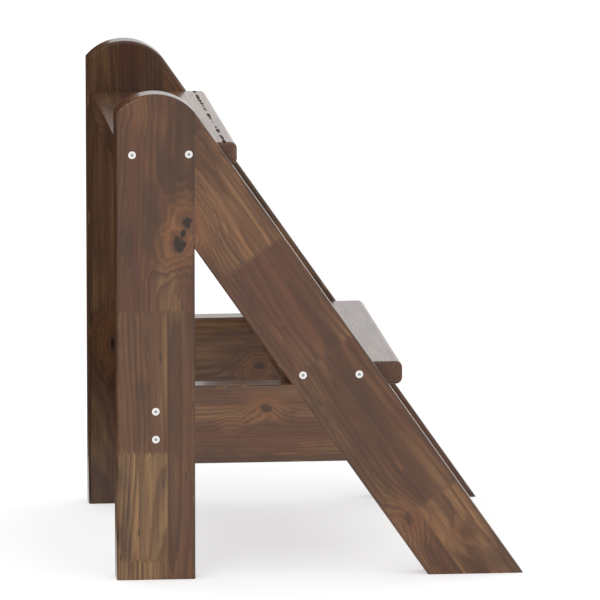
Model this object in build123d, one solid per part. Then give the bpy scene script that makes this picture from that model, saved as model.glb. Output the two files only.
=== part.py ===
from build123d import *
from math import cos, radians, sin, sqrt, tan
import os

# Wooden spa steps: two side frames, each a rear post, a leaning stringer and a level brace,
# with two treads and a rear rail screwed between them.
# Frame: +X is the front, where the climb starts, +Y runs along the treads and +Z is up.
# The origin is on the floor, in the middle of the outline. The tub stands on the -X side.
# Left and right are those of a person climbing the steps, so left is the -Y side.

# Driving dimensions, in millimetres and degrees. Depths are measured forward from the
# back of the rear posts, and heights from the floor.
OVERALL_WIDTH = 520.0
BOARD_WIDTH = 95.0
BOARD_THICKNESS = 35.0
POST_HEIGHT = 590.0
ARCH_RADIUS = 62.0
STRINGER_LEAN = 35.0
BRACE_BOTTOM = 141.0
EASED_EDGE = 3.0

TREAD_DEPTH = 145.0
TREAD_THICKNESS = 28.0
TREAD_NOSE_RADIUS = 8.0
TOP_TREAD_HEIGHT = 526.0
TOP_TREAD_BACK = 4.0
LOWER_TREAD_HEIGHT = 256.0
LOWER_TREAD_BACK = 204.0

RAIL_THICKNESS = 28.0

SCREW_LENGTH = 80.0
SCREW_HEAD_RADIUS = 4.6
SCREW_HEAD_RIM = 0.5
SCREW_SHANK_RADIUS = 2.2
SCREW_THREAD_RADIUS = 2.5
SCREW_THREAD_RUNOUT = 1.0
SCREW_POINT_LENGTH = 5.0
SCREW_HEAD_SINK = 0.3
SCREW_CLEARANCE = 0.3
DRIVE_DEPTH = 2.0
DRIVE_CORE_RADIUS = 1.55
DRIVE_LOBE_RADIUS = 0.5
TREAD_SCREW_DROP = 9.0
TREAD_SCREW_SPACING = 68.0
TOP_SCREW_DEPTH = 20.0
LOWER_SCREW_DEPTH = 225.0
RAIL_SCREW_SPACING = 34.0

DOWEL_RADIUS = 5.0
DOWEL_LENGTH = 60.0
DOWEL_CHAMFER = 1.0
GLUE_GAP = 0.05
HOLE_END_GAP = 1.0
POST_STRINGER_DOWEL_HEIGHTS = (430.0, 490.0)
BRACE_DOWEL_INSET = 24.0

# Derived dimensions
LEAN_SLOPE = tan(radians(STRINGER_LEAN))
FOOT_LENGTH = BOARD_WIDTH / cos(radians(STRINGER_LEAN))
ARCH_RISE = ARCH_RADIUS - sqrt(ARCH_RADIUS ** 2 - (BOARD_WIDTH / 2) ** 2)
SHOULDER_HEIGHT = POST_HEIGHT - ARCH_RISE
BASE_DEPTH = BOARD_WIDTH + SHOULDER_HEIGHT * LEAN_SLOPE
BRACE_TOP = BRACE_BOTTOM + BOARD_WIDTH
BRACE_MIDDLE = BRACE_BOTTOM + BOARD_WIDTH / 2
CLEAR_WIDTH = OVERALL_WIDTH - 2 * BOARD_THICKNESS
HALF_WIDTH = OVERALL_WIDTH / 2
MEETING_HEIGHT = (BASE_DEPTH - FOOT_LENGTH - BOARD_WIDTH) / LEAN_SLOPE
BELOW = -BOARD_WIDTH
OUTSIDE = BASE_DEPTH + POST_HEIGHT
SIDES = {"left": -1, "right": 1}

# Moves a solid from the post's back at X = 0 to the middle of the outline.
TO_ORIGIN = Pos(-BASE_DEPTH / 2, 0, 0)


def stringer_back(height):
    """Depth of the stringer's rear edge at a height."""
    return BASE_DEPTH - FOOT_LENGTH - height * LEAN_SLOPE


def zone(*points):
    """Everything inside an outline of (depth, height) points, right across the steps."""
    outline = make_face(Polyline(*points, close=True))
    return extrude(Plane.XZ * outline, amount=OVERALL_WIDTH, both=True)


def side_frame_blank():
    """A whole side frame in the middle plane: its glued boards as one plate, open edges eased."""
    walk = Polyline((0, SHOULDER_HEIGHT), (0, 0), (BASE_DEPTH, 0), (BOARD_WIDTH, SHOULDER_HEIGHT))
    arch = RadiusArc((0, SHOULDER_HEIGHT), (BOARD_WIDTH, SHOULDER_HEIGHT), ARCH_RADIUS)
    outline = make_face(walk + arch)
    blank = extrude(Plane.XZ * outline, amount=BOARD_THICKNESS / 2, both=True)
    window = zone((BOARD_WIDTH, BRACE_TOP), (stringer_back(BRACE_TOP), BRACE_TOP),
                  (BOARD_WIDTH, MEETING_HEIGHT))
    leg_gap = zone((BOARD_WIDTH, BELOW), (stringer_back(BELOW), BELOW),
                   (stringer_back(BRACE_BOTTOM), BRACE_BOTTOM), (BOARD_WIDTH, BRACE_BOTTOM))
    blank = blank - window - leg_gap
    big_faces = blank.faces().sort_by(Axis.Y)
    face_edges = big_faces[0].edges() + big_faces[-1].edges()
    open_edges = [edge for edge in face_edges if edge.center().Z > EASED_EDGE]
    return fillet(open_edges, EASED_EDGE)


def post_zone():
    """The part of a side frame that is rear post."""
    return zone((BELOW, BELOW), (BOARD_WIDTH, BELOW), (BOARD_WIDTH, OUTSIDE), (BELOW, OUTSIDE))


def stringer_zone():
    """The part of a side frame that is stringer."""
    return zone((BOARD_WIDTH, MEETING_HEIGHT), (stringer_back(BELOW), BELOW), (OUTSIDE, BELOW),
                (OUTSIDE, OUTSIDE), (BOARD_WIDTH, OUTSIDE))


def single_solid(shape):
    """The one solid inside the result of a cut."""
    return shape.solids().sort_by(SortBy.VOLUME)[-1]


def side_middle(side):
    """Where the middle plane of a side's frame is along Y."""
    return side * (OVERALL_WIDTH - BOARD_THICKNESS) / 2


def screw():
    """A countersunk wood screw along +Z, its head's top at the origin, with a six-lobe recess."""
    cone_top = SCREW_HEAD_RIM
    cone_end = cone_top + SCREW_HEAD_RADIUS - SCREW_SHANK_RADIUS
    thread_start = SCREW_LENGTH / 2
    thread_end = SCREW_LENGTH - SCREW_POINT_LENGTH
    half_section = [(0, 0), (SCREW_HEAD_RADIUS, 0), (SCREW_HEAD_RADIUS, cone_top),
                    (SCREW_SHANK_RADIUS, cone_end), (SCREW_SHANK_RADIUS, thread_start),
                    (SCREW_THREAD_RADIUS, thread_start + SCREW_THREAD_RUNOUT),
                    (SCREW_THREAD_RADIUS, thread_end), (0, SCREW_LENGTH)]
    profile = make_face(Polyline(*half_section, close=True))
    body = revolve(Plane.XZ * profile, Axis.Z)
    recess = Circle(DRIVE_CORE_RADIUS)
    recess += PolarLocations(DRIVE_CORE_RADIUS, 6) * Circle(DRIVE_LOBE_RADIUS)
    return body - extrude(recess, amount=DRIVE_DEPTH)


def screw_hole():
    """The countersunk clearance hole and the pilot hole that a screw sits in, along +Z."""
    head = SCREW_HEAD_RADIUS + SCREW_CLEARANCE
    shank = SCREW_THREAD_RADIUS + SCREW_CLEARANCE
    pilot = SCREW_THREAD_RADIUS + GLUE_GAP
    cone_top = SCREW_HEAD_SINK + SCREW_HEAD_RIM
    cone_end = cone_top + head - shank
    half_section = [(0, -HOLE_END_GAP), (head, -HOLE_END_GAP), (head, cone_top), (shank, cone_end),
                    (shank, BOARD_THICKNESS), (pilot, BOARD_THICKNESS),
                    (pilot, SCREW_LENGTH), (0, SCREW_LENGTH + HOLE_END_GAP)]
    profile = make_face(Polyline(*half_section, close=True))
    return revolve(Plane.XZ * profile, Axis.Z)


def screw_place(side, depth, height, sink=0.0):
    """A place on a side frame's outer face, its local +Z pointing inward along the tread."""
    origin = (depth, side * (HALF_WIDTH - sink), height)
    return Plane(origin=origin, x_dir=(1, 0, 0), z_dir=(0, -side, 0)).location


def screws_at(side, points):
    """The screws at (depth, height) points of a side frame, as separate solids."""
    return [single_solid(screw_place(side, x, z, SCREW_HEAD_SINK) * screw()) for x, z in points]


def bored(shape, side, points):
    """A shape with the holes of a side's screws cut in it."""
    for x, z in points:
        shape = shape - screw_place(side, x, z) * screw_hole()
    return shape


def dowel_places(side, points, tilt=0.0):
    """Places at (depth, height) points in a side frame's middle plane, +Z along each dowel."""
    along = (cos(radians(tilt)), 0, sin(radians(tilt)))
    return [Plane(origin=(x, side_middle(side), z), z_dir=along).location for x, z in points]


def dowels_at(places):
    """Glued dowels with chamfered ends, centred on their places, as separate solids."""
    pin = Cylinder(DOWEL_RADIUS, DOWEL_LENGTH)
    pin = chamfer(pin.edges().filter_by(GeomType.CIRCLE), DOWEL_CHAMFER)
    return [single_solid(place * pin) for place in places]


def socketed(shape, places):
    """A shape with the dowels' blind holes cut in it."""
    for place in places:
        socket = Cylinder(DOWEL_RADIUS + GLUE_GAP, DOWEL_LENGTH + 2 * HOLE_END_GAP)
        shape = shape - place * socket
    return shape


def board_along_treads(depth, thickness, nose_radius):
    """A board between the side frames, its rear top edge on the X = 0, Z = 0 line."""
    corner = (Align.MIN, Align.CENTER, Align.MAX)
    board = Box(depth, CLEAR_WIDTH, thickness, align=corner)
    long_edges = board.edges().filter_by(Axis.Y)
    front_edges = long_edges.sort_by(Axis.X)[-2:]
    board = fillet(front_edges, nose_radius)
    ends = board.faces().filter_by(Axis.Y)
    end_edges = [edge for face in ends for edge in face.edges()]
    rear_edges = board.edges().filter_by(Axis.Y).sort_by(Axis.X)[:2]
    return fillet(end_edges + list(rear_edges), EASED_EDGE)


def tread_screw_points(first_depth, tread_height):
    """The two screws of a tread end, at one height, a little above the board's middle."""
    height = tread_height - TREAD_SCREW_DROP
    return [(first_depth, height), (first_depth + TREAD_SCREW_SPACING, height)]


# Where the screws and dowels are in a side frame, as (depth, height) points
TOP_SCREWS = tread_screw_points(TOP_SCREW_DEPTH, TOP_TREAD_HEIGHT)
LOWER_SCREWS = tread_screw_points(LOWER_SCREW_DEPTH, LOWER_TREAD_HEIGHT)
RAIL_SCREWS = [(BOARD_WIDTH / 2, BRACE_MIDDLE + RAIL_SCREW_SPACING / 2),
               (BOARD_WIDTH / 2, BRACE_MIDDLE - RAIL_SCREW_SPACING / 2)]
BRACE_DOWEL_HEIGHTS = (BRACE_BOTTOM + BRACE_DOWEL_INSET, BRACE_TOP - BRACE_DOWEL_INSET)
POST_STRINGER_DOWELS = [(BOARD_WIDTH, z) for z in POST_STRINGER_DOWEL_HEIGHTS]
POST_BRACE_DOWELS = [(BOARD_WIDTH, z) for z in BRACE_DOWEL_HEIGHTS]
BRACE_STRINGER_DOWELS = [(stringer_back(z), z) for z in BRACE_DOWEL_HEIGHTS]


def side_frame(side, blank):
    """The boards, dowels and screws of one side frame: lists of solids by the piece's name."""
    blank = Pos(0, side_middle(side), 0) * blank
    post_stringer = dowel_places(side, POST_STRINGER_DOWELS)
    post_brace = dowel_places(side, POST_BRACE_DOWELS)
    brace_stringer = dowel_places(side, BRACE_STRINGER_DOWELS, STRINGER_LEAN)

    post = socketed(blank & post_zone(), post_stringer + post_brace)
    post = bored(post, side, TOP_SCREWS + RAIL_SCREWS)
    stringer = socketed(blank & stringer_zone(), post_stringer + brace_stringer)
    stringer = bored(stringer, side, LOWER_SCREWS)
    brace = socketed(blank - post_zone() - stringer_zone(), post_brace + brace_stringer)
    return {
        "rear_post": [single_solid(post)],
        "stringer": [single_solid(stringer)],
        "brace": [single_solid(brace)],
        "top_tread_screws": screws_at(side, TOP_SCREWS),
        "lower_tread_screws": screws_at(side, LOWER_SCREWS),
        "rear_rail_screws": screws_at(side, RAIL_SCREWS),
        "post_stringer_dowels": dowels_at(post_stringer),
        "post_brace_dowels": dowels_at(post_brace),
        "brace_stringer_dowels": dowels_at(brace_stringer),
    }


def bored_from_both_sides(board, screw_points):
    """A board between the side frames with the pilot holes of its screws in both ends."""
    for side in SIDES.values():
        board = bored(board, side, screw_points)
    return [single_solid(board)]


def tread(back, height, screw_points):
    """Tread board with a rounded nose, held between the side frames."""
    board = board_along_treads(TREAD_DEPTH, TREAD_THICKNESS, TREAD_NOSE_RADIUS)
    return bored_from_both_sides(Pos(back, 0, height) * board, screw_points)


def rear_rail():
    """Board on edge between the posts, level with the braces."""
    board = board_along_treads(RAIL_THICKNESS, BOARD_WIDTH, EASED_EDGE)
    back = (BOARD_WIDTH - RAIL_THICKNESS) / 2
    return bored_from_both_sides(Pos(back, 0, BRACE_TOP) * board, RAIL_SCREWS)


def build():
    """The solids of every node of the steps, by the node's name."""
    nodes = {
        "top_tread": tread(TOP_TREAD_BACK, TOP_TREAD_HEIGHT, TOP_SCREWS),
        "lower_tread": tread(LOWER_TREAD_BACK, LOWER_TREAD_HEIGHT, LOWER_SCREWS),
        "rear_rail": rear_rail(),
    }
    blank = side_frame_blank()
    for word, side in SIDES.items():
        for piece, solids in side_frame(side, blank).items():
            nodes[piece + "_" + word] = solids
    return nodes


os.makedirs("parts", exist_ok=True)
for name, solids in build().items():
    placed = [TO_ORIGIN * solid for solid in solids]
    node = placed[0] if len(placed) == 1 else Compound(children=placed)
    export_step(node, "parts/" + name + ".step")
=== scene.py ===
import math

import bpy
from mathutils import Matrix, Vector


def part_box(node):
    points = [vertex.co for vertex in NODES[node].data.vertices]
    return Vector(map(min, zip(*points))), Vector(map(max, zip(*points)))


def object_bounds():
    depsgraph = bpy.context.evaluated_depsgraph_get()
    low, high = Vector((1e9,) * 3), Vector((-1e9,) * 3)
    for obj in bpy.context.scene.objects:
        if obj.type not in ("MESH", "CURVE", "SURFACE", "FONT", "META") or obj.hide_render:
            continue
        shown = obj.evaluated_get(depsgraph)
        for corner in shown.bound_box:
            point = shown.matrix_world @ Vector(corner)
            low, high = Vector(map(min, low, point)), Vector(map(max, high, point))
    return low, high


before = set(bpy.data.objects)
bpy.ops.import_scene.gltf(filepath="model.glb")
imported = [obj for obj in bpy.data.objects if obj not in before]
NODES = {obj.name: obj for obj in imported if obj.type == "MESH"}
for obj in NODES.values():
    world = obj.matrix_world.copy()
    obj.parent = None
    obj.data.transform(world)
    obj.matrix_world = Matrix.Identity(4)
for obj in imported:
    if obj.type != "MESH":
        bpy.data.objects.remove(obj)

CAD_BOX = [list(corner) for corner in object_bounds()]

# Sizes and places in metres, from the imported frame. Depths are measured forward from the back
# of the posts, and heights from the floor.
POST_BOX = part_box("rear_post_left")
BACK, FRONT = CAD_BOX[0][0], CAD_BOX[1][0]
BOARD_WIDTH = POST_BOX[1][0] - POST_BOX[0][0]
BOARD_THICKNESS = POST_BOX[1][1] - POST_BOX[0][1]
LEAN = math.radians(35.0)
FOOT_LENGTH = BOARD_WIDTH / math.cos(LEAN)
SCREW_TOP = -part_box("top_tread_screws_left")[0][1]
PAST_EDGE = BOARD_WIDTH / 2 + 0.01  # where a lamella that runs out over a board's edge ends

# Board axes: along the grain, then across it
UP, ALONG_TREADS, FORWARD = Vector((0, 0, 1)), Vector((0, 1, 0)), Vector((1, 0, 0))
UP_THE_LEAN = Vector((-math.sin(LEAN), 0, math.cos(LEAN)))
ACROSS_THE_LEAN = Vector((math.cos(LEAN), 0, math.sin(LEAN)))

# Colours, as linear RGB
BROWN = (0.138, 0.058, 0.025)
RING_LINE = (0.066, 0.027, 0.013)
RED_BROWN = (0.116, 0.044, 0.022)
TAN = (0.310, 0.172, 0.072)
ORANGE_BROWN = (0.285, 0.137, 0.057)
# dark stain, also used as painted shade on the eased edges
DARK_STAIN_AND_SHADE = (0.050, 0.025, 0.014)
KNOT_ORANGE = (0.220, 0.090, 0.032)
KNOT_HEART = (0.016, 0.009, 0.006)
PORE = (0.020, 0.010, 0.006)
BEECH = (0.560, 0.380, 0.210)
BEECH_FLECK = (0.40, 0.25, 0.13)
DULL_STEEL = (0.66, 0.65, 0.63)
BRIGHT_STEEL = (0.84, 0.83, 0.81)
# painted shade inside the screws' drive recess
RECESS_SHADE = (0.050, 0.042, 0.036)
# colour of a card that only paints a dark reflection
TUB_REFLECTION_BROWN = (0.10, 0.055, 0.035)

# Wood and varnish
RING_SPACING = 0.0042
RING_TAPER = 0.012  # how much a ring's radius changes per metre along the board
LAMELLA_RING_SHIFT = 0.0173  # puts a lamella on other rings than the wood beside it
FINGER_PITCH, FINGER_LENGTH, GLUE_LINE = 0.0038, 0.006, 0.0008
EDGE_BAND_START, EDGE_BAND_FULL = 0.0042, 0.0012  # in from a board's edge
VARNISH_IOR, COAT_WEIGHT, COAT_ROUGHNESS = 1.36, 0.40, 0.08


# ---------------------------------------------------------------- node-building helpers
class Graph:
    """A material's node tree, with short calls that add a node and return its output."""

    def __init__(self, name):
        self.material = bpy.data.materials.new(name)
        self.material.use_nodes = True
        self.tree = self.material.node_tree
        self.tree.nodes.clear()
        self.output = self.tree.nodes.new("ShaderNodeOutputMaterial")

    def node(self, kind, **settings):
        made = self.tree.nodes.new(kind)
        for key, value in settings.items():
            setattr(made, key, value)
        return made

    def put(self, value, socket):
        """Feeds a socket with another socket's output or with a plain value."""
        if isinstance(value, bpy.types.NodeSocket):
            self.tree.links.new(value, socket)
        else:
            socket.default_value = value

    def finish(self, shader):
        self.put(shader.outputs[0], self.output.inputs["Surface"])
        return self.material

    def object_place(self):
        return self.node("ShaderNodeTexCoord").outputs["Object"]

    def math(self, operation, a, b=0.0):
        made = self.node("ShaderNodeMath", operation=operation)
        self.put(a, made.inputs[0])
        self.put(b, made.inputs[1])
        return made.outputs[0]

    def add(self, *values):
        total = values[0]
        for value in values[1:]:
            total = self.math("ADD", total, value)
        return total

    def times(self, *values):
        total = values[0]
        for value in values[1:]:
            total = self.math("MULTIPLY", total, value)
        return total

    def distance(self, a, b):
        """How far two numbers are apart."""
        return self.math("ABSOLUTE", self.math("SUBTRACT", a, b))

    def vector_math(self, operation, a, b=(0, 0, 0)):
        made = self.node("ShaderNodeVectorMath", operation=operation)
        self.put(a, made.inputs[0])
        self.put(b, made.inputs[1])
        return made.outputs["Value" if operation in ("LENGTH", "DOT_PRODUCT") else "Vector"]

    def split(self, vector):
        made = self.node("ShaderNodeSeparateXYZ")
        self.put(vector, made.inputs[0])
        return made.outputs[0], made.outputs[1], made.outputs[2]

    def join(self, x, y, z):
        made = self.node("ShaderNodeCombineXYZ")
        for value, socket in zip((x, y, z), made.inputs):
            self.put(value, socket)
        return made.outputs[0]

    def noise(self, vector, stretch, detail, roughness, offset=None):
        """Noise in a space whose axes are scaled first: larger numbers make finer noise."""
        if offset is not None:
            vector = self.vector_math("ADD", vector, offset)
        made = self.node("ShaderNodeTexNoise")
        self.put(self.vector_math("MULTIPLY", vector, stretch), made.inputs["Vector"])
        made.inputs["Scale"].default_value = 1.0
        made.inputs["Detail"].default_value = detail
        made.inputs["Roughness"].default_value = roughness
        return made.outputs["Fac"]

    def step(self, value, low, high, to_low=0.0, to_high=1.0):
        """Smooth step of a value from low to high."""
        made = self.node("ShaderNodeMapRange", interpolation_type="SMOOTHSTEP")
        self.put(value, made.inputs["Value"])
        for name, limit in (("From Min", low), ("From Max", high),
                            ("To Min", to_low), ("To Max", to_high)):
            self.put(limit, made.inputs[name])
        return made.outputs["Result"]

    def mix(self, factor, first, second):
        """A blend of two colours."""
        made = self.node("ShaderNodeMix", data_type="RGBA")
        self.put(factor, made.inputs["Factor"])
        for value, socket in ((first, made.inputs[6]), (second, made.inputs[7])):
            self.put((*value, 1.0) if isinstance(value, tuple) else value, socket)
        return made.outputs[2]

    def bump(self, height, strength, distance):
        made = self.node("ShaderNodeBump")
        made.inputs["Strength"].default_value = strength
        made.inputs["Distance"].default_value = distance
        self.put(height, made.inputs["Height"])
        return made.outputs["Normal"]


# ---------------------------------------------------------------- wood
class Board:
    """One board's own axes and the marks in its wood. Positions on the board are (x, y) pairs
    in metres: x along the grain from the origin, y across it from the board's middle line.
    pith is where the tree's centre line runs, as (across, through), and tone scales the
    brightness. pockets is the y of a row of resin pockets, if there is one."""

    def __init__(self, node, origin, along, across, seed, pith, tone=1.0,
                 width=BOARD_WIDTH, thickness=BOARD_THICKNESS):
        self.node = node
        self.origin = Vector(origin)
        self.along = along
        self.across = across
        self.seed = seed
        self.pith = pith
        self.tone = tone
        self.width = width
        self.thickness = thickness
        self.knots = []
        self.strips = []
        self.pockets = None

    def knot(self, place, radius, darkness=1.0):
        """A knot of a heart radius, its darkness 0 where it is only a swirl in the grain."""
        self.knots.append((place, radius, darkness))
        return self

    def strip(self, x_range, y_range, tint, amount):
        """A glued lamella of another tone, from finger joint to finger joint."""
        self.strips.append({"x": x_range, "y": y_range, "tint": tint, "amount": amount})

    def on_board(self, depth, height):
        """Where a (depth, height) point of the side frame is on the board."""
        gap = Vector((BACK + depth, self.origin.y, height)) - self.origin
        return gap.dot(self.along), gap.dot(self.across)


def board_space(graph, board):
    """A surface point in the board's own axes."""
    through = board.along.cross(board.across)
    gap = graph.vector_math("SUBTRACT", graph.object_place(), tuple(board.origin))
    axes = (board.along, board.across, through)
    return graph.join(*[graph.vector_math("DOT_PRODUCT", gap, tuple(axis)) for axis in axes])


def grain_space(graph, board, place, masks):
    """The board's axes, moved by its seed and again in each lamella, so that noises differ."""
    seed = board.seed
    grain = graph.vector_math("ADD", place, (seed * 3.7, seed * 1.3, seed * 2.1))
    for index, mask in enumerate(masks):
        jump = graph.times(mask, 0.41 + 0.23 * index)
        grain = graph.vector_math("ADD", grain, graph.join(jump, jump, 0.0))
    return grain


def strip_mask(graph, place, x_range, y_range):
    """1 inside a lamella: straight glue lines along the grain, zigzag finger joints across it."""
    x, y = graph.split(place)[:2]
    zigzag = graph.math("PINGPONG", y, FINGER_PITCH / 2)
    x = graph.add(x, graph.times(zigzag, 2 * FINGER_LENGTH / FINGER_PITCH))
    mask = 1.0
    for value, (low, high) in ((x, x_range), (y, y_range)):
        mask = graph.times(mask, graph.step(value, low - GLUE_LINE, low + GLUE_LINE),
                           graph.step(value, high - GLUE_LINE, high + GLUE_LINE, 1.0, 0.0))
    return mask


def knot_fields(graph, board, place, wobble):
    """How much the board's knots push the growth rings aside, in metres, and one (reach,
    darkness) pair per knot. The reach is 0 in the middle and 1 at the edge of the heart."""
    squash, raggedness, fall_off = 0.72, 2.6, 0.075
    push, knots = 0.0, []
    for (x, y), radius, darkness in board.knots:
        gap = graph.vector_math("SUBTRACT", place, (x, y, 0.0))
        flat = graph.vector_math("MULTIPLY", gap, (squash / radius, 1.0 / radius, 0.0))
        reach = graph.add(graph.vector_math("LENGTH", flat), graph.times(wobble, raggedness))
        hill = graph.math("EXPONENT", graph.times(reach, reach, -fall_off))
        hill_height = (2.4 * radius + 0.006) * (0.4 + 0.6 * darkness)
        push = graph.math("MAXIMUM", push, graph.times(hill, hill_height))
        knots.append((reach, darkness))
    return push, knots


def growth_rings(graph, board, place, grain, masks, push):
    """The dark late wood of each growth ring, 0 to 1. The rings run round the tree's centre
    line, with a taper along the tree, a slow wander and a finer ripple."""
    wander_size, ripple_size, years_per_metre = 0.050, 0.0060, 70.0
    x, y, z = graph.split(place)
    wander = graph.times(graph.noise(grain, (1.7, 7.0, 7.0), 2.0, 0.45), wander_size)
    ripple = graph.times(graph.noise(grain, (7.0, 42.0, 42.0), 3.0, 0.5), ripple_size)
    from_pith = graph.join(graph.math("SUBTRACT", y, board.pith[0]),
                           graph.math("SUBTRACT", z, board.pith[1]), 0.0)
    radius = graph.add(graph.vector_math("LENGTH", from_pith), graph.times(x, RING_TAPER),
                       wander, ripple, push)
    for mask in masks:
        radius = graph.add(radius, graph.times(mask, LAMELLA_RING_SHIFT))
    phase = graph.math("FRACT", graph.times(radius, 1.0 / RING_SPACING))
    late = graph.times(graph.step(phase, 0.20, 0.84), graph.step(phase, 1.0, 0.88))
    year = graph.join(graph.times(radius, years_per_metre), 0.0, board.seed)
    strength = graph.step(graph.noise(year, (1, 1, 1), 2.0, 0.6), 0.32, 0.62, 0.25, 1.0)
    return graph.times(late, strength)


def grain_colour(graph, board, grain, masks, late, fibre, pore):
    """The stained wood away from knots and edges: bands, lamellas, stain clouds, rings,
    streaks, fibres, pores and flecks, each mixed over the last."""
    band = graph.noise(grain, (1.6, 34.0, 34.0), 3.0, 0.5)
    patch = graph.noise(grain, (4.5, 24.0, 24.0), 3.0, 0.5, offset=(5.0, 2.0, 9.0))
    cloud = graph.noise(grain, (6.0, 19.0, 19.0), 4.0, 0.6)
    glow = graph.noise(grain, (20.0, 85.0, 85.0), 3.0, 0.6, offset=(1.0, 8.0, 3.0))
    streak = graph.noise(grain, (3.0, 120.0, 120.0), 3.0, 0.55)
    line = graph.noise(grain, (2.6, 270.0, 270.0), 2.0, 0.6)
    fleck = graph.noise(grain, (34.0, 230.0, 230.0), 1.0, 0.3)

    colour = graph.mix(graph.step(band, 0.38, 0.64), BROWN, RED_BROWN)
    for mask, strip in zip(masks, board.strips):
        colour = graph.mix(graph.times(mask, strip["amount"]), colour, strip["tint"])
    for amount, tint in ((graph.step(patch, 0.48, 0.68, 0.0, 0.52), TAN),
                         (graph.step(cloud, 0.48, 0.66, 0.0, 0.75), DARK_STAIN_AND_SHADE),
                         (graph.step(glow, 0.57, 0.70, 0.0, 0.55), KNOT_ORANGE),
                         (graph.times(late, 0.75), RING_LINE),
                         (graph.step(streak, 0.46, 0.68, 0.0, 0.40), DARK_STAIN_AND_SHADE),
                         (graph.step(line, 0.46, 0.64, 0.0, 0.38), RING_LINE),
                         (graph.step(fibre, 0.30, 0.72, 0.34, 0.0), RING_LINE),
                         (graph.times(pore, 0.60), PORE),
                         (graph.step(fleck, 0.755, 0.80, 0.0, 0.80), PORE)):
        colour = graph.mix(amount, colour, tint)
    return colour


def knot_colour(graph, colour, knots, late):
    """Orange swirls round dark, cracked hearts."""
    for reach, darkness in knots:
        halo = graph.step(reach, 1.4, 5.0, 1.0, 0.0)
        halo_colour = graph.mix(graph.times(late, 0.70), KNOT_ORANGE, RING_LINE)
        colour = graph.mix(graph.times(halo, 0.35 + 0.35 * darkness), colour, halo_colour)
    for reach, darkness in knots:
        rim = graph.times(graph.step(reach, 0.9, 1.2), graph.step(reach, 2.0, 1.3))
        colour = graph.mix(graph.times(rim, 0.55 * darkness), colour, RED_BROWN)
        heart = graph.step(reach, 0.70, 1.15, 1.0, 0.0)
        colour = graph.mix(graph.times(heart, 0.95 * darkness), colour, KNOT_HEART)
    return colour


def edge_colour(graph, board, colour, place, grain):
    """Painted shade darkens the eased edges, and wear lightens them again in places."""
    edge = 1.0
    for value, extent in zip(graph.split(place)[1:], (board.width, board.thickness)):
        band = graph.step(graph.math("ABSOLUTE", value), extent / 2 - EDGE_BAND_START,
                          extent / 2 - EDGE_BAND_FULL)
        edge = graph.times(edge, band)
    wear = graph.step(graph.noise(grain, (26.0, 60.0, 60.0), 4.0, 0.65), 0.56, 0.66)
    # painted shade: the eased edges are darkened
    colour = graph.mix(graph.times(edge, 0.38), colour, DARK_STAIN_AND_SHADE)
    return graph.mix(graph.times(edge, wear, 0.40), colour, TAN)


def pocket_row(graph, board, place, grain, wobble):
    """1 inside a broken row of resin pockets that runs along the board in its upper face."""
    across, through = graph.split(place)[1:]
    across = graph.add(across, graph.times(wobble, 0.004))
    half_width = graph.step(graph.noise(grain, (48.0, 1.0, 1.0), 1.0, 0.4), 0.36, 0.54, 0.0, 0.0023)
    inside = graph.math("SUBTRACT", half_width, graph.distance(across, board.pockets))
    upper_face = -board.thickness / 2
    skin = graph.step(through, upper_face + 0.001, upper_face + 0.002, 1.0, 0.0)
    return graph.times(graph.step(inside, 0.0, 0.0008), skin)


def stained_wood(board):
    """Brown-stained softwood in the board's own grain direction, under a satin varnish that
    follows the grain a little."""
    graph = Graph("wood_" + board.node)
    place = board_space(graph, board)
    masks = [strip_mask(graph, place, strip["x"], strip["y"]) for strip in board.strips]
    grain = grain_space(graph, board, place, masks)
    wobble = graph.math("SUBTRACT", graph.noise(grain, (42, 60, 60), 4.0, 0.6), 0.5)
    push, knots = knot_fields(graph, board, place, wobble)
    late = growth_rings(graph, board, place, grain, masks, push)
    fibre = graph.noise(grain, (9.0, 640.0, 640.0), 4.0, 0.62)
    pore = graph.step(graph.noise(grain, (85.0, 950.0, 950.0), 1.0, 0.4), 0.69, 0.77)

    colour = grain_colour(graph, board, grain, masks, late, fibre, pore)
    colour = knot_colour(graph, colour, knots, late)
    colour = edge_colour(graph, board, colour, place, grain)
    roughness = graph.step(fibre, 0.25, 0.75, 0.24, 0.38)
    height = graph.add(graph.times(late, -0.5), graph.times(fibre, 0.8), graph.times(pore, -0.8))

    shader = graph.node("ShaderNodeBsdfPrincipled")
    shader.inputs["IOR"].default_value = VARNISH_IOR
    shader.inputs["Coat IOR"].default_value = VARNISH_IOR
    shader.inputs["Coat Weight"].default_value = COAT_WEIGHT
    shader.inputs["Coat Roughness"].default_value = COAT_ROUGHNESS
    if board.pockets is not None:
        row = pocket_row(graph, board, place, grain, wobble)
        colour = graph.mix(graph.times(row, 0.85), colour, KNOT_HEART)
        roughness = graph.add(roughness, graph.times(row, 0.5))
        graph.put(graph.step(row, 0.0, 1.0, COAT_WEIGHT, 0.0), shader.inputs["Coat Weight"])
    shade = graph.node("ShaderNodeHueSaturation")
    shade.inputs["Value"].default_value = board.tone
    graph.put(colour, shade.inputs["Color"])
    graph.put(shade.outputs["Color"], shader.inputs["Base Color"])
    graph.put(roughness, shader.inputs["Roughness"])
    graph.put(graph.bump(height, 0.12, 0.00030), shader.inputs["Normal"])
    return graph.finish(shader)


# ---------------------------------------------------------------- other materials
def beech():
    """Plain beech of the glued dowels: pale, with short fine flecks."""
    graph = Graph("dowel_beech")
    fibre = graph.noise(graph.object_place(), (60.0, 700.0, 700.0), 3.0, 0.6)
    shader = graph.node("ShaderNodeBsdfPrincipled")
    graph.put(graph.mix(fibre, BEECH, BEECH_FLECK), shader.inputs["Base Color"])
    graph.put(graph.step(fibre, 0.3, 0.7, 0.5, 0.7), shader.inputs["Roughness"])
    graph.put(graph.bump(fibre, 0.3, 0.0001), shader.inputs["Normal"])
    return graph.finish(shader)


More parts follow.
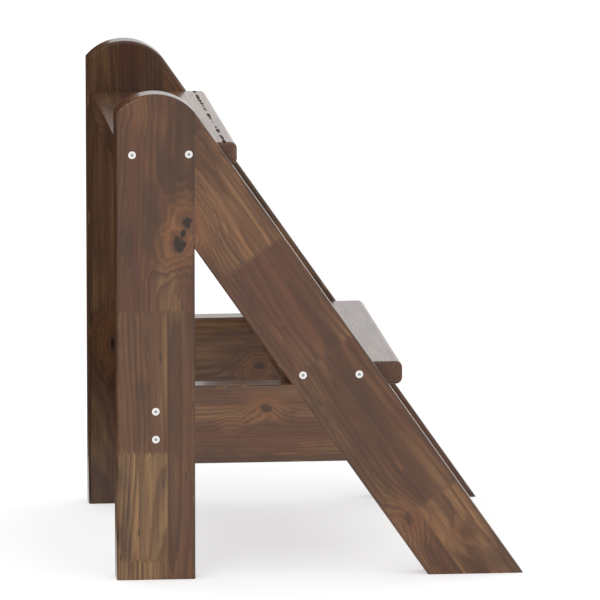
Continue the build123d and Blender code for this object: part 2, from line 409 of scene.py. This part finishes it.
def screw_steel():
    """Stainless screw heads, a little duller in patches, with painted shade that darkens the drive
    recess.
    """
    graph = Graph("screw_steel")
    place = graph.object_place()
    grit = graph.noise(place, (5200, 5200, 5200), 3.0, 0.6)
    tarnish = graph.noise(place, (420, 420, 420), 2.0, 0.5)
    # painted shade: the drive recess darkens with depth
    lit_depth, dark_depth = 0.0002, 0.0012
    outward = graph.math("ABSOLUTE", graph.split(place)[1])
    recess_shade = graph.step(outward, SCREW_TOP - dark_depth, SCREW_TOP - lit_depth, 1.0, 0.0)
    colour = graph.mix(tarnish, DULL_STEEL, BRIGHT_STEEL)
    colour = graph.mix(graph.times(recess_shade, 0.60), colour, RECESS_SHADE)
    shader = graph.node("ShaderNodeBsdfPrincipled")
    graph.put(colour, shader.inputs["Base Color"])
    graph.put(graph.step(grit, 0.3, 0.7, 0.20, 0.36), shader.inputs["Roughness"])
    graph.put(graph.bump(grit, 0.15, 0.00005), shader.inputs["Normal"])
    shader.inputs["Metallic"].default_value = 1.0
    return graph.finish(shader)


# ---------------------------------------------------------------- the boards
def middle(name):
    """The middle of a CAD node's box."""
    low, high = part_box(name)
    return (Vector(low) + Vector(high)) / 2


def side_board(piece, side, seed, pith, tone):
    """A post, stringer or brace. Its origin is where its middle line meets the floor or, on
    the brace, the post."""
    name = piece + "_" + side
    y = middle(name).y
    if piece == "rear_post":
        origin, along, across = (BACK + BOARD_WIDTH / 2, y, 0), UP, FORWARD
    elif piece == "stringer":
        origin, along, across = (FRONT - FOOT_LENGTH / 2, y, 0), UP_THE_LEAN, ACROSS_THE_LEAN
    else:
        origin, along, across = (BACK + BOARD_WIDTH, y, middle(name).z), FORWARD, UP
    return Board(name, origin, along, across, seed, pith, tone)


def left_frame():
    """The near side frame, with the knots and lamellas that show."""
    post = side_board("rear_post", "left", 1, (0.030, 0.030), 0.86)
    stringer = side_board("stringer", "left", 3, (0.012, 0.034), 0.95)
    brace = side_board("brace", "left", 5, (0.050, 0.020), 0.91)

    # One cluster of knots lies across the joint of post and stringer
    cluster = (((0.086, 0.435), 0.0074), ((0.075, 0.409), 0.0072), ((0.081, 0.422), 0.0040))
    for (depth, height), radius in cluster:
        for board in (post, stringer):
            board.knot(board.on_board(depth, height), radius)
    post.knot(post.on_board(0.026, 0.570), 0.0045, 0.0)
    stringer.knot(stringer.on_board(0.354, 0.068), 0.0064, 0.50)
    stringer.knot(stringer.on_board(0.418, 0.050), 0.0042, 0.0)
    brace.knot(brace.on_board(0.180, 0.208), 0.0052, 0.75)
    brace.knot(brace.on_board(0.138, 0.190), 0.0034, 0.0)

    post.strip((-0.020, 0.026), (-PAST_EDGE, 0.014), TAN, 0.95)
    post.strip((0.026, 0.158), (-PAST_EDGE, 0.014), TAN, 1.00)
    post.strip((0.158, 0.330), (-PAST_EDGE, 0.014), TAN, 0.20)
    post.strip((-0.020, 0.330), (0.014, PAST_EDGE), TAN, 0.12)
    stringer.strip((0.478, 0.640), (-0.008, PAST_EDGE), ORANGE_BROWN, 0.74)
    stringer.strip((0.330, 0.478), (-PAST_EDGE, PAST_EDGE), RED_BROWN, 0.55)
    stringer.strip((0.110, 0.330), (-PAST_EDGE, 0.004), DARK_STAIN_AND_SHADE, 0.28)
    stringer.strip((-0.060, 0.110), (-0.012, PAST_EDGE), ORANGE_BROWN, 0.80)
    return post, stringer, brace


def right_frame():
    """The far side frame, with marks of its own. Its tones are lower than the near frame's as
    painted shade, the post's most of all.
    """
    # painted shade: the post's tone of 0.58 darkens it as if it stood in shadow
    post = side_board("rear_post", "right", 2, (-0.040, 0.026), 0.58)
    stringer = side_board("stringer", "right", 4, (-0.030, 0.036), 0.84)
    brace = side_board("brace", "right", 6, (0.020, -0.040), 0.88)
    post.knot((0.205, -0.012), 0.0075).knot((0.470, 0.020), 0.0050, 0.4)
    stringer.knot((0.180, 0.012), 0.0080).knot((0.455, -0.020), 0.0055, 0.5)
    brace.knot((0.120, -0.014), 0.0055, 0.7)
    post.strip((0.250, 0.700), (-PAST_EDGE, -0.008), TAN, 0.30)
    stringer.strip((0.260, 0.800), (0.010, PAST_EDGE), TAN, 0.28)
    return post, stringer, brace


def level_board(name, across, seed, pith):
    """A tread or the rail, which lies along the treads' direction."""
    low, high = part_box(name)
    depth, height = high[0] - low[0], high[2] - low[2]
    width, thickness = (depth, height) if across is FORWARD else (height, depth)
    return Board(name, middle(name), ALONG_TREADS, across, seed, pith,
                 width=width, thickness=thickness)


def level_boards():
    """The two treads and the rear rail."""
    top = level_board("top_tread", FORWARD, 7, (0.030, -0.050))
    lower = level_board("lower_tread", FORWARD, 8, (-0.040, -0.045))
    rail = level_board("rear_rail", UP, 9, (0.020, 0.040))
    top.knot((-0.060, -0.030), 0.0085).knot((0.150, 0.030), 0.0055, 0.6)
    lower.knot((0.110, -0.010), 0.0080).knot((-0.140, 0.035), 0.0060, 0.4)
    rail.knot((0.070, 0.010), 0.0070)
    top.pockets = 0.0575
    past_end, past_edge = 0.30, 0.080  # beyond a tread's ends and long edges
    top.strip((-past_end, past_end), (-past_edge, -0.024), RED_BROWN, 0.45)
    top.strip((-0.020, past_end), (0.024, past_edge), TAN, 0.35)
    lower.strip((-past_end, past_end), (-0.022, 0.026), TAN, 0.30)
    lower.strip((-past_end, 0.060), (0.026, past_edge), RED_BROWN, 0.45)
    return top, lower, rail


def paint(name, material):
    """Gives a CAD node one material."""
    slots = NODES[name].data.materials
    slots.clear()
    slots.append(material)


def paint_everything():
    """One material for each board, one for all screws and one for all dowels."""
    for board in (*left_frame(), *right_frame(), *level_boards()):
        paint(board.node, stained_wood(board))
    steel, dowel = screw_steel(), beech()
    for name in NODES:
        if "screws" in name:
            paint(name, steel)
        if "dowels" in name:
            paint(name, dowel)


# ---------------------------------------------------------------- studio
def card(name, corners, material):
    """A flat four-cornered piece of the studio, which is not part of the object."""
    mesh = bpy.data.meshes.new(name)
    mesh.from_pydata(corners, [], [(0, 1, 2, 3)])
    mesh.materials.append(material)
    made = bpy.data.objects.new(name, mesh)
    bpy.context.scene.collection.objects.link(made)
    return made


def floor():
    """A pale, matt floor a hair under the feet. Its faint glow keeps the contact shadow light."""
    half, z = 40.0, -0.0002
    reflectance, glow = 0.62, 0.42
    graph = Graph("studio_floor")
    shader = graph.node("ShaderNodeBsdfPrincipled")
    shader.inputs["Base Color"].default_value = (reflectance, reflectance, reflectance, 1.0)
    shader.inputs["Specular IOR Level"].default_value = 0.0
    shader.inputs["Roughness"].default_value = 1.0
    shader.inputs["Emission Color"].default_value = (1.0, 1.0, 1.0, 1.0)
    shader.inputs["Emission Strength"].default_value = glow
    corners = [(-half, -half, z), (half, -half, z), (half, half, z), (-half, half, z)]
    card("floor", corners, graph.finish(shader))


def tub_reflection_card():
    """A brown card in the tub's place behind the posts. Only reflections see it: it paints a dark
    reflection on the posts and casts no light or shadow.
    """
    x, near, far, top = BACK - 0.02, -0.30, 3.0, 1.1
    graph = Graph("studio_reflection_card")
    shader = graph.node("ShaderNodeBsdfDiffuse")
    shader.inputs["Color"].default_value = (*TUB_REFLECTION_BROWN, 1.0)
    corners = [(x, near, 0), (x, far, 0), (x, far, top), (x, near, top)]
    made = card("tub_reflection_card", corners, graph.finish(shader))
    made.visible_camera = False
    made.visible_diffuse = False
    made.visible_shadow = False


def disk_light(name, size, power, place, target):
    """A round soft light that faces its target."""
    light = bpy.data.lights.new(name, "AREA")
    light.shape = "DISK"
    light.size = size
    light.energy = power
    made = bpy.data.objects.new(name, light)
    bpy.context.scene.collection.objects.link(made)
    made.location = place
    made.rotation_euler = (Vector(target) - Vector(place)).to_track_quat("-Z", "Y").to_euler()


def studio():
    """An even white room with one soft key light."""
    world = bpy.data.worlds.new("studio")
    bpy.context.scene.world = world
    world.use_nodes = True
    background = world.node_tree.nodes["Background"]
    background.inputs["Color"].default_value = (1, 1, 1, 1)
    background.inputs["Strength"].default_value = 1.10
    disk_light("key", size=1.6, power=25.0, place=(-1.6, -3.2, 2.6), target=(0, 0, 0.3))
    bpy.context.scene.view_settings.view_transform = "Standard"


def camera():
    """A long lens, a little from the tub's side of square-on and a little above."""
    azimuth, elevation, distance = math.radians(-5.5), math.radians(9.5), 9.54
    frame_height = 0.74
    low, high = (Vector(corner) for corner in CAD_BOX)
    target = (low + high) / 2
    data = bpy.data.cameras.new("camera")
    data.lens = data.sensor_width * distance / frame_height
    data.clip_end = 200.0
    made = bpy.data.objects.new("camera", data)
    bpy.context.scene.collection.objects.link(made)
    towards_camera = Vector((math.sin(azimuth) * math.cos(elevation),
                             -math.cos(azimuth) * math.cos(elevation), math.sin(elevation)))
    made.location = target + towards_camera * distance
    made.rotation_euler = (-towards_camera).to_track_quat("-Z", "Y").to_euler()
    bpy.context.scene.camera = made


camera()
paint_everything()
floor()
tub_reflection_card()
studio()
